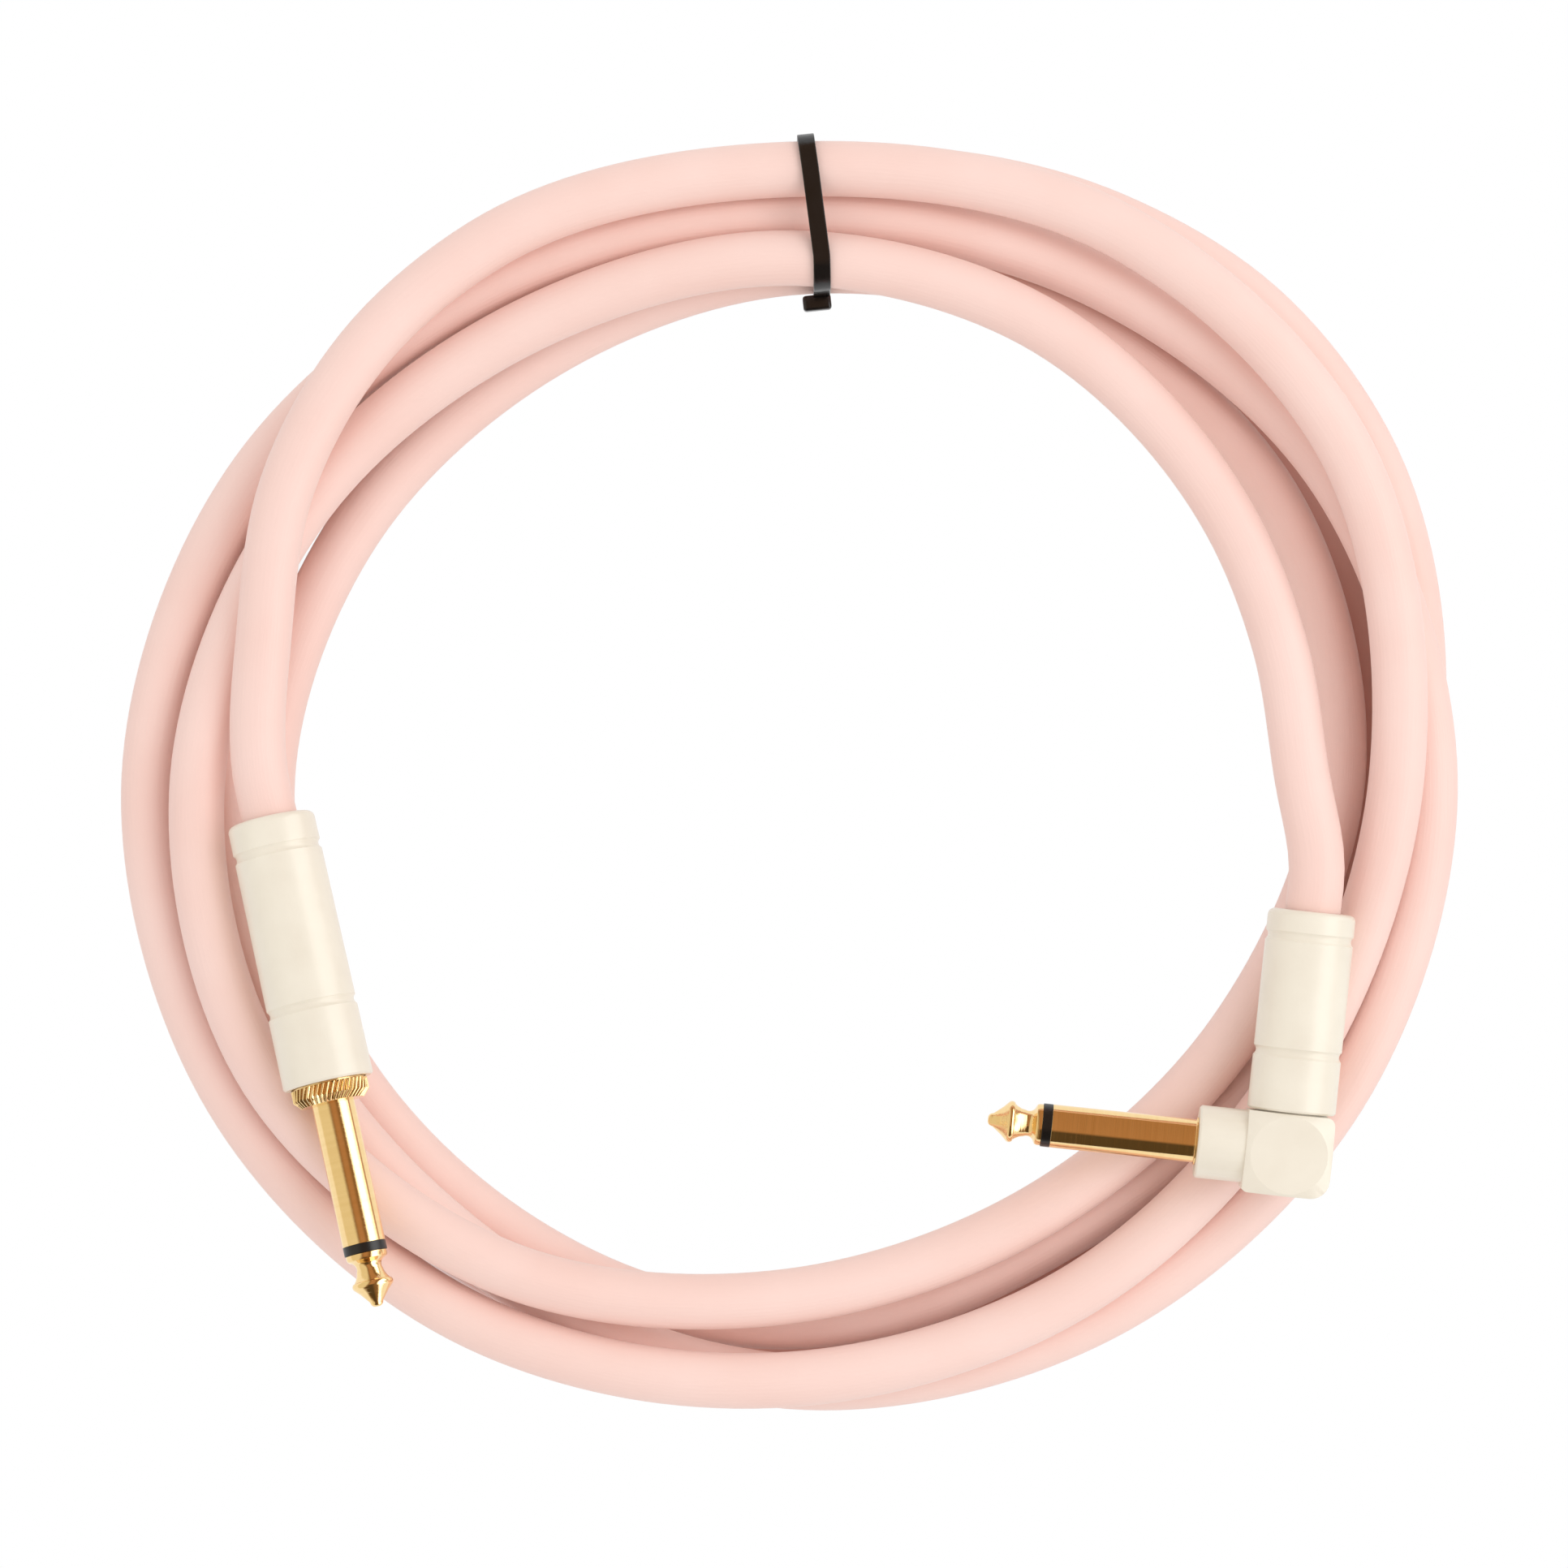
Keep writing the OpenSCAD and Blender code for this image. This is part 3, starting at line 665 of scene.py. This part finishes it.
straight_sleeve = turned(
    "straight_shaft_turned",
    [(-FIT, SHAFT_BORE_R), (-FIT, SHAFT_R), (RING_FROM, SHAFT_R), (RING_FROM, SHAFT_BORE_R)],
    straight_shaft_place, "gold_plate")
straight_spigot = turned(
    "straight_spigot_turned",
    [(SPIGOT_FROM, SPIGOT_BORE_R), (SPIGOT_FROM, SPIGOT_R), (STRAIGHT_COLLAR_AT, SPIGOT_R),
     (STRAIGHT_COLLAR_AT, SHAFT_BORE_R), (SPIGOT_FLOOR, SHAFT_BORE_R),
     (SPIGOT_FLOOR, SPIGOT_BORE_R)],
    straight_place, "gold_plate")
angle_sleeve = turned(
    "angle_shaft_turned",
    [(TUBE_STARTS["angle"], SHAFT_BORE_R), (TUBE_STARTS["angle"], STEM_R),
     (-RIM_LENGTH, STEM_R), (-RIM_LENGTH, RIM_R), (0, RIM_R), (0, SHAFT_R),
     (RING_FROM, SHAFT_R), (RING_FROM, SHAFT_BORE_R)],
    angle_shaft_place, "gold_plate")
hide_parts("straight_sleeve")
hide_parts("straight_sleeve")
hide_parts("angle_sleeve")
plug_pieces["angle"].append(angle_sleeve)

# %% [markdown]
# ## The knurled collar
#
# The collar in front of the straight barrel has slanted teeth, pressed in by two rollers so
# that it can be gripped. It is spun like the rest, with a few columns of faces to each
# tooth. The columns in between the teeth are pushed in, and then the whole ring is twisted,
# so that the teeth slant without a single stepped edge.

# %% Knurled collar
TEETH, COLUMNS = 44, 6
TOOTH_DEPTH = 0.34 * MM
TOOTH_SLANT = radians(24)
COLLAR_R, COLLAR_FRONT_R = 5.7 * MM, 4.7 * MM
COLLAR_LENGTH, COLLAR_BAND = 2.7 * MM, 1.67 * MM
BAND_RINGS, CONE_RINGS = 6, 4
VALLEY_POWER = 1.4              # above 1 the valleys are narrower than the teeth


def knurled_collar():
    band = [(COLLAR_BAND * k / BAND_RINGS, COLLAR_R) for k in range(BAND_RINGS + 1)]
    cone = [(COLLAR_BAND + (COLLAR_LENGTH - COLLAR_BAND) * k / CONE_RINGS,
             COLLAR_R + (COLLAR_FRONT_R - COLLAR_R) * k / CONE_RINGS)
            for k in range(1, CONE_RINGS + 1)]
    bm = spin_section([(0, SHAFT_BORE_R)] + band + cone + [(COLLAR_LENGTH, SHAFT_BORE_R)],
                      TEETH * COLUMNS)
    for vert in bm.verts:
        x, y, z = vert.co
        out = hypot(y, z)
        if out < COLLAR_FRONT_R - FIT:
            continue
        tooth = (atan2(y, -z) / tau * TEETH) % 1.0
        valley = (0.5 + 0.5 * cos(tau * tooth)) ** VALLEY_POWER
        scale = (out - TOOTH_DEPTH * valley) / out
        twist = Matrix.Rotation(x * tan(TOOTH_SLANT) / COLLAR_R, 4, "X")
        vert.co = twist @ Vector((x, y * scale, z * scale))
    plug_uv(bm)
    shift = straight_place @ Matrix.Translation((STRAIGHT_COLLAR_AT, 0, 0))
    bmesh.ops.transform(bm, verts=bm.verts[:], matrix=shift)
    return make_object("straight_collar_knurled", bm, gold_finish)


collar = soften(knurled_collar(), 0.03 * MM, 1)
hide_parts("straight_sleeve")

# %% [markdown]
# ## The threads
#
# When a barrel is unscrewed, the thread on its spigot comes into view. A thread is a spin
# that also moves along: the operator takes a step of its own for that. One small triangle is
# spun for nine turns, three quarters of a millimetre apart, which is how far one turn of the
# barrel moves it.

# %% Threads
THREAD_PITCH = 0.75 * MM
THREAD_TURNS = 9
THREAD_STEPS = 40               # faces to a turn
THREAD_ROOT, THREAD_TOP = 5.27 * MM, 5.51 * MM
THREAD_HALF = 0.42 * THREAD_PITCH           # half the width of its foot
STRAIGHT_THREAD_AT, ANGLE_THREAD_AT = SPIGOT_FROM + 0.5 * MM, 21.3 * MM


def thread(name, start, frame_matrix, slot):
    bm = bmesh.new()
    verts = [bm.verts.new((start + x, 0, r)) for x, r in
             ((-THREAD_HALF, THREAD_ROOT), (0, THREAD_TOP), (THREAD_HALF, THREAD_ROOT))]
    edges = [bm.edges.new((verts[i], verts[i - 1])) for i in range(3)]
    bmesh.ops.spin(bm, geom=verts + edges, cent=(0, 0, 0), axis=(1, 0, 0),
                   dvec=(THREAD_PITCH / THREAD_STEPS, 0, 0), angle=tau * THREAD_TURNS,
                   steps=THREAD_STEPS * THREAD_TURNS)
    bmesh.ops.holes_fill(bm, edges=bm.edges[:], sides=0)
    bmesh.ops.recalc_face_normals(bm, faces=bm.faces[:])
    plug_uv(bm)
    bmesh.ops.transform(bm, verts=bm.verts[:], matrix=frame_matrix)
    return make_object(name, bm, FINISHES[slot], smooth=False)


thread("straight_thread", STRAIGHT_THREAD_AT, straight_place, "gold_plate")
angle_thread = thread("angle_thread", ANGLE_THREAD_AT, angle_place, "ivory_finish")
plug_pieces["angle"].append(angle_thread)

# %% [markdown]
# ## The right-angle head
#
# The head is a die-cast block with a round neck on its side. Its solid already has the right
# shape, so a copy of its mesh is merged, freed of the cuts across its flat faces, and given
# soft edges, which the paint would leave on any casting.

# %% Head
MERGE_WITHIN = 0.002 * MM
FLAT_WITHIN = radians(1.5)


def refined(node, name, slot, edge):
    bm = bmesh.new()
    bm.from_mesh(frame["nodes"][node].data)
    bmesh.ops.remove_doubles(bm, verts=bm.verts[:], dist=MERGE_WITHIN)
    bmesh.ops.dissolve_limit(bm, angle_limit=FLAT_WITHIN, verts=bm.verts[:],
                             edges=bm.edges[:], use_dissolve_boundaries=False)
    piece = soften(make_object(name, bm, FINISHES[slot]), edge, 3)
    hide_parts(node)
    return piece


head = refined("angle_head", "angle_head_cast", "ivory_finish", 0.25 * MM)
plug_pieces["angle"].append(head)

# %% [markdown]
# ## The cable tie
#
# The strap is pulled tight, so it follows the outside of the bundle: round the outer strands
# and straight across between them. That line is found strand by strand. For each direction
# out of the bundle, the strap touches whichever strand reaches furthest that way. A circle
# of edges takes that shape, is extruded to the strap's width, and a Solidify modifier gives
# it its thickness.

# %% Strap
TIE_AT = COIL_SCALE * Vector((0.0034, 0.078, 0.0))
TIE_HEADING = 96.0
STRAP_WIDTH, STRAP_THICK = 2.5 * MM, 1.0 * MM
STRAP_BOW = 0.6 * MM
STRAP_GAP = 0.03 * MM           # between the strap and the strands
STRAP_POINTS = 120
BUNDLE_REACH = 30 * MM          # strands further out than this lie across the coil
tie_place = place(TIE_AT, TIE_HEADING)          # X points out of the coil


def strands_in_tie():
    """Where the cable passes the tie: X out of the coil and Z up, in the tie's frame."""
    inside = tie_place.inverted()
    local = [inside @ c for c in centres]
    return [Vector((a.x, a.z)) for a, b in zip(local, local[1:])
            if a.y * b.y <= 0 and abs(a.x) < BUNDLE_REACH]


strands = strands_in_tie()
print("strands in the tie:", [tuple(round(v / MM, 1) for v in s) for s in strands])


def strap_line(gap):
    points = []
    for k in range(STRAP_POINTS):
        out = Vector((cos(tau * k / STRAP_POINTS), sin(tau * k / STRAP_POINTS)))
        furthest = max(strands, key=lambda strand: strand.dot(out))
        points.append(furthest + out * (CABLE_D / 2 + gap))
    return points


def bow(share):
    """How far the strap strays sideways, at a share of the way into the coil."""
    return -STRAP_BOW * sin(pi * min(1.0, max(0.0, share)) ** 1.5)


def make_strap():
    bm = bmesh.new()
    ring = bmesh.ops.create_circle(bm, segments=STRAP_POINTS, radius=1.0)["verts"]
    line = strap_line(STRAP_GAP)
    outer, inner = max(p.x for p in line), min(p.x for p in line)
    for vert, point in zip(ring, line):
        aside = bow((outer - point.x) / (outer - inner))
        vert.co = (point.x, aside - STRAP_WIDTH / 2, point.y)
    made = bmesh.ops.extrude_edge_only(bm, edges=bm.edges[:])["geom"]
    far_side = [g for g in made if isinstance(g, bmesh.types.BMVert)]
    bmesh.ops.translate(bm, verts=far_side, vec=(0, STRAP_WIDTH, 0))
    bmesh.ops.recalc_face_normals(bm, faces=bm.faces[:])
    bmesh.ops.transform(bm, verts=bm.verts[:], matrix=tie_place)
    strap = make_object("tie_strap", bm, nylon_finish)
    solid = strap.modifiers.new("thickness", "SOLIDIFY")
    solid.thickness, solid.offset = STRAP_THICK, 1.0
    return soften(strap, 0.15 * MM, 3)


strap = make_strap()
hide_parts("cable_tie")

# %% Lock and cut tail
LOCK_SIZE = (2.3 * MM, 4.2 * MM, 3.6 * MM)
LOCK_EDGE, TAIL_EDGE = 0.5 * MM, 0.15 * MM
LOCK_SIDE = 0.8 * MM            # the lock is flush with one edge of the strap
LOCK_HEIGHT = 10.8 * MM
LOCK_OVERLAP = 0.5 * MM         # how far it reaches into the strap
TAIL_SIZE = (0.9 * MM, 2.4 * MM, 1.4 * MM)
TAIL_INWARD, TAIL_DROP = 0.1 * MM, 0.5 * MM


def rounded_block(name, middle, size, edge):
    bm = bmesh.new()
    bmesh.ops.create_cube(bm, size=1.0)
    bmesh.ops.scale(bm, verts=bm.verts[:], vec=size)
    bmesh.ops.bevel(bm, geom=bm.edges[:], offset=edge, segments=4, profile=0.5,
                    affect="EDGES", material=-1)
    bmesh.ops.transform(bm, verts=bm.verts[:], matrix=tie_place @ Matrix.Translation(middle))
    bmesh.ops.recalc_face_normals(bm, faces=bm.faces[:])
    return make_object(name, bm, nylon_finish)


inner_side = min(p.x for p in strap_line(STRAP_THICK))
lock_middle = Vector((inner_side - LOCK_SIZE[0] / 2 + LOCK_OVERLAP, LOCK_SIDE, LOCK_HEIGHT))
lock = rounded_block("tie_lock", lock_middle, LOCK_SIZE, LOCK_EDGE)
tail_middle = lock_middle + Vector((-TAIL_INWARD, -LOCK_SIDE, -LOCK_SIZE[2] / 2 - TAIL_DROP))
tail = rounded_block("tie_tail", tail_middle, TAIL_SIZE, TAIL_EDGE)
for piece in (lock, tail):
    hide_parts("cable_tie")

# %% [markdown]
# ## What is soft
#
# The cable is the only piece of the object that bends.

# %% [markdown]
# ## Table, light and sky
#
# The table is white. Lamps strong enough to make it so would bleach the cable, so the camera
# and mirrors are shown a white that shines by itself. That white stops in a ring under the
# coil, where the real surface lies in the shadow of the strands: the narrow gaps between
# them would glow otherwise. In that ring the table's colour is also painted pink, a painted
# reflection of the pink strands that deepens their shadow in the gaps.

# %% Table
TABLE_SIZE = 6.0
SHADE_FROM, SHADE_TO = 0.0790, 0.0930   # the ring without a light of its own: its radii
SHADE_EDGE = 0.0035                     # width of its soft edges
# the table's own white, and the pink painted on it in the ring under the coil as painted shade
# and reflection
TABLE_WHITE, TABLE_PAINTED_PINK_SHADE = (0.82, 0.82, 0.82), (0.80, 0.48, 0.41)


def smooth_step(tree, value, start, end):
    """0 before start, 1 past end. With the two swapped it runs the other way."""
    node = add_node(tree, "ShaderNodeMapRange", interpolation_type="SMOOTHSTEP")
    falling = start > end
    node.inputs["From Min"].default_value = min(start, end)
    node.inputs["From Max"].default_value = max(start, end)
    node.inputs["To Min"].default_value = 1.0 if falling else 0.0
    node.inputs["To Max"].default_value = 0.0 if falling else 1.0
    tree.links.new(value, node.inputs["Value"])
    return node.outputs["Result"]


def make_table():
    bm = bmesh.new()
    bmesh.ops.create_grid(bm, x_segments=2, y_segments=2, size=TABLE_SIZE / 2)
    mesh = bpy.data.meshes.new("table")
    bm.to_mesh(mesh)
    bm.free()
    table = bpy.data.objects.new("table", mesh)
    scene.collection.objects.link(table)
    material = bpy.data.materials.new("table_white")
    material.use_nodes = True
    tree = material.node_tree
    shader = tree.nodes["Principled BSDF"]
    shader.inputs["Roughness"].default_value = 0.9
    shader.inputs["Specular IOR Level"].default_value = 0.1
    glow = add_node(tree, "ShaderNodeEmission")
    path = add_node(tree, "ShaderNodeLightPath")
    seen = add_node(tree, "ShaderNodeMath", operation="ADD", use_clamp=True)
    through = add_node(tree, "ShaderNodeMath", operation="ADD", use_clamp=True)
    share = add_node(tree, "ShaderNodeMath", operation="MULTIPLY")
    mix = add_node(tree, "ShaderNodeMixShader")
    place_on_table = add_node(tree, "ShaderNodeTexCoord").outputs["Object"]
    radius = add_node(tree, "ShaderNodeVectorMath", operation="LENGTH")
    tree.links.new(place_on_table, radius.inputs[0])
    inside = smooth_step(tree, radius.outputs["Value"], SHADE_FROM + SHADE_EDGE, SHADE_FROM)
    outside = smooth_step(tree, radius.outputs["Value"], SHADE_TO - SHADE_EDGE, SHADE_TO)
    open_table = add_node(tree, "ShaderNodeMath", operation="ADD", use_clamp=True)
    # in the ring under the coil the table takes the painted pink shade instead of its white
    colour = blend_colours(tree, open_table.outputs[0], TABLE_PAINTED_PINK_SHADE, TABLE_WHITE)
    for start, end in (
            (colour, shader.inputs["Base Color"]),
            (inside, open_table.inputs[0]),
            (outside, open_table.inputs[1]),
            (path.outputs["Is Camera Ray"], seen.inputs[0]),
            (path.outputs["Is Glossy Ray"], seen.inputs[1]),
            (seen.outputs[0], through.inputs[0]),
            (path.outputs["Is Transmission Ray"], through.inputs[1]),
            (through.outputs[0], share.inputs[0]),
            (open_table.outputs[0], share.inputs[1]),
            (share.outputs[0], mix.inputs[0]),
            (shader.outputs[0], mix.inputs[1]),
            (glow.outputs[0], mix.inputs[2]),
            (mix.outputs[0], tree.nodes["Material Output"].inputs["Surface"])):
        tree.links.new(start, end)
    mesh.materials.append(material)
    return table


print("stage:", make_table().name)

# %% [markdown]
# ## The sky and the soft box
#
# An even daylight leaves the tops of the strands pale and the gaps between them deep, and a
# large soft box on the right lays soft shadows to their left. Polished gold shows whatever
# surrounds it, and an even sky would make it look like yellow paint. So shiny surfaces are
# shown another sky, a studio drawn in two ramps. The one from left to right has a pale wall,
# a brown ceiling and the white soft box, and gives the straight shaft its bands. The one from
# front to back goes from dark to amber, and is what the right-angle shaft sees.

# %% Sky
DAYLIGHT, DAYLIGHT_STRENGTH = (1.0, 0.985, 0.97), 0.90
MIRRORED_STRENGTH = 3.0
DARK, BROWN, AMBER = (0.03, 0.02, 0.01), (0.08, 0.045, 0.02), (0.15, 0.08, 0.04)
WALL, WHITE = (0.27, 0.25, 0.20), (1.0, 1.0, 1.0)
LEFT_TO_RIGHT = (               # X of a direction, and what stands there
    (-1.0, WALL), (-0.5, WALL), (-0.3, BROWN), (0.5, BROWN), (0.6, WHITE), (0.9, WHITE),
    (1.0, BROWN),
)
FRONT_TO_BACK = ((-1.0, DARK), (-0.5, DARK), (-0.3, AMBER), (1.0, AMBER))   # the same for Y
SIDE_FROM, SIDE_TO = 0.15, 0.35         # from here to here the first takes over from the second


def sky_ramp(tree, direction, stops):
    """Colours along one axis of a direction, which runs from -1 to 1."""
    share = add_node(tree, "ShaderNodeMapRange")
    share.inputs["From Min"].default_value = -1.0
    tree.links.new(direction, share.inputs["Value"])
    ramp = add_node(tree, "ShaderNodeValToRGB")
    tree.links.new(share.outputs["Result"], ramp.inputs["Fac"])
    elements = ramp.color_ramp.elements
    while len(elements) < len(stops):
        elements.new(1.0)
    for element, (at, colour) in zip(elements, stops):
        element.position, element.color = (at + 1) / 2, (*colour, 1)
    return ramp.outputs["Color"]


def make_sky():
    world = bpy.data.worlds.new("studio")
    scene.world = world
    world.use_nodes = True
    tree = world.node_tree
    daylight = tree.nodes["Background"]
    daylight.inputs["Color"].default_value = (*DAYLIGHT, 1)
    daylight.inputs["Strength"].default_value = DAYLIGHT_STRENGTH
    mirrored = add_node(tree, "ShaderNodeBackground")
    mirrored.inputs["Strength"].default_value = MIRRORED_STRENGTH
    split = add_node(tree, "ShaderNodeSeparateXYZ")
    tree.links.new(add_node(tree, "ShaderNodeTexCoord").outputs["Generated"], split.inputs[0])
    sideways = add_node(tree, "ShaderNodeMath", operation="ABSOLUTE")
    tree.links.new(split.outputs["X"], sideways.inputs[0])
    studio = add_node(tree, "ShaderNodeMix", data_type="RGBA")
    mix = add_node(tree, "ShaderNodeMixShader")
    for start, end in (
            (smooth_step(tree, sideways.outputs[0], SIDE_FROM, SIDE_TO), studio.inputs[0]),
            (sky_ramp(tree, split.outputs["Y"], FRONT_TO_BACK), studio.inputs[6]),
            (sky_ramp(tree, split.outputs["X"], LEFT_TO_RIGHT), studio.inputs[7]),
            (studio.outputs[2], mirrored.inputs["Color"]),
            (add_node(tree, "ShaderNodeLightPath").outputs["Is Glossy Ray"], mix.inputs[0]),
            (daylight.outputs[0], mix.inputs[1]),
            (mirrored.outputs[0], mix.inputs[2]),
            (mix.outputs[0], tree.nodes["World Output"].inputs["Surface"])):
        tree.links.new(start, end)


make_sky()
print("sky:", scene.world.name)

# %% Soft box
SOFT_BOX_AT = Vector((0.85, 0.25, 1.35))
SOFT_BOX_SIZE, SOFT_BOX_POWER = 1.0, 5.5

lamp = bpy.data.lights.new("soft_box", "AREA")
lamp.shape, lamp.size, lamp.energy = "SQUARE", SOFT_BOX_SIZE, SOFT_BOX_POWER
stand = bpy.data.objects.new("soft_box", lamp)
stand.location = SOFT_BOX_AT
stand.rotation_mode = "QUATERNION"
stand.rotation_quaternion = (-SOFT_BOX_AT).to_track_quat("-Z", "Y")
stand.visible_glossy = False    # the mirrored sky already shows it
scene.collection.objects.link(stand)
print("soft box:", SOFT_BOX_SIZE, "m wide,", SOFT_BOX_POWER, "W")
